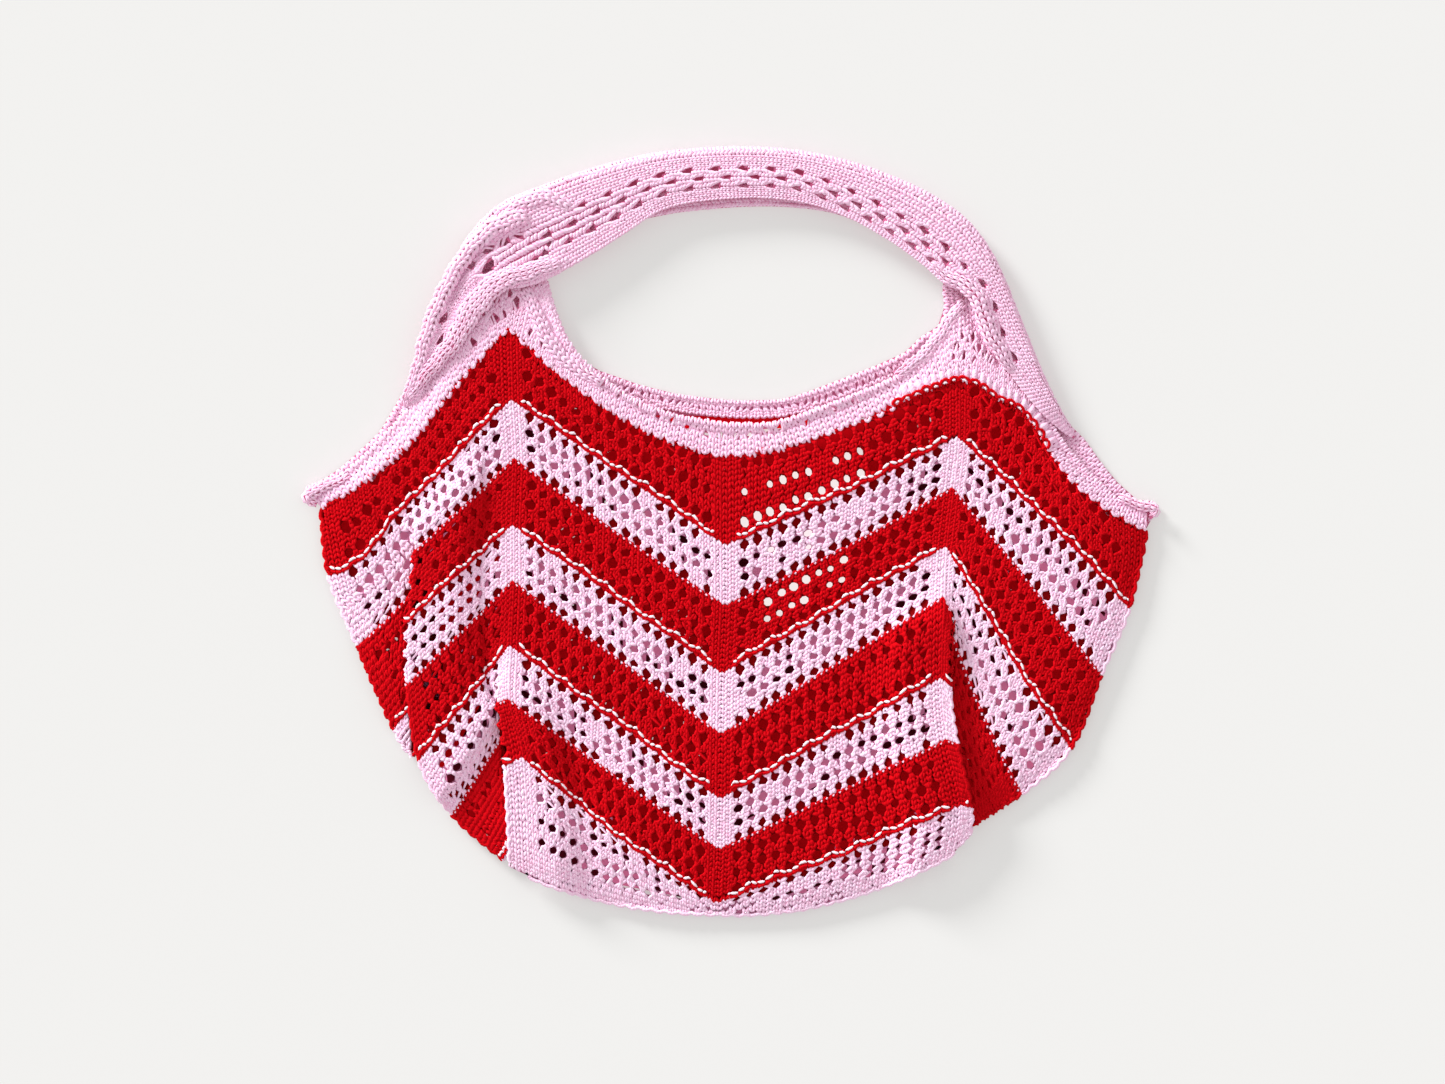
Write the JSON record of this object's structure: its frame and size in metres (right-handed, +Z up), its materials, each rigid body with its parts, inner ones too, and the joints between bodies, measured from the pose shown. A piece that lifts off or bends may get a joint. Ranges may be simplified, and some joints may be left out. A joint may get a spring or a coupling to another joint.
{
  "type": "tote bag",
  "caption": "Crochet tote bag in red and pink chevron net, lying flat, with pink trims and one wide folded strip as its handle.",
  "frame": {"origin": "middle of the outline's box, on the surface that the bag lies on", "axes": "+X across the bag to the right as seen from above, +Y from the bottom of the bag to the handle, +Z up from the surface"},
  "size_m": [0.428, 0.383, 0.0171],
  "materials": {
    "front_net": "soft cotton yarn",
    "back_net": "soft cotton yarn",
    "front_trim": "soft cotton yarn",
    "back_trim": "soft cotton yarn",
    "handle_knit": "soft cotton yarn"
  },
  "bodies": {
    "root": {"front_panel": "front_net", "back_panel": "back_net", "front_yoke": "front_trim", "back_yoke": "back_trim", "handle": "handle_knit"}
  },
  "joints": []
}
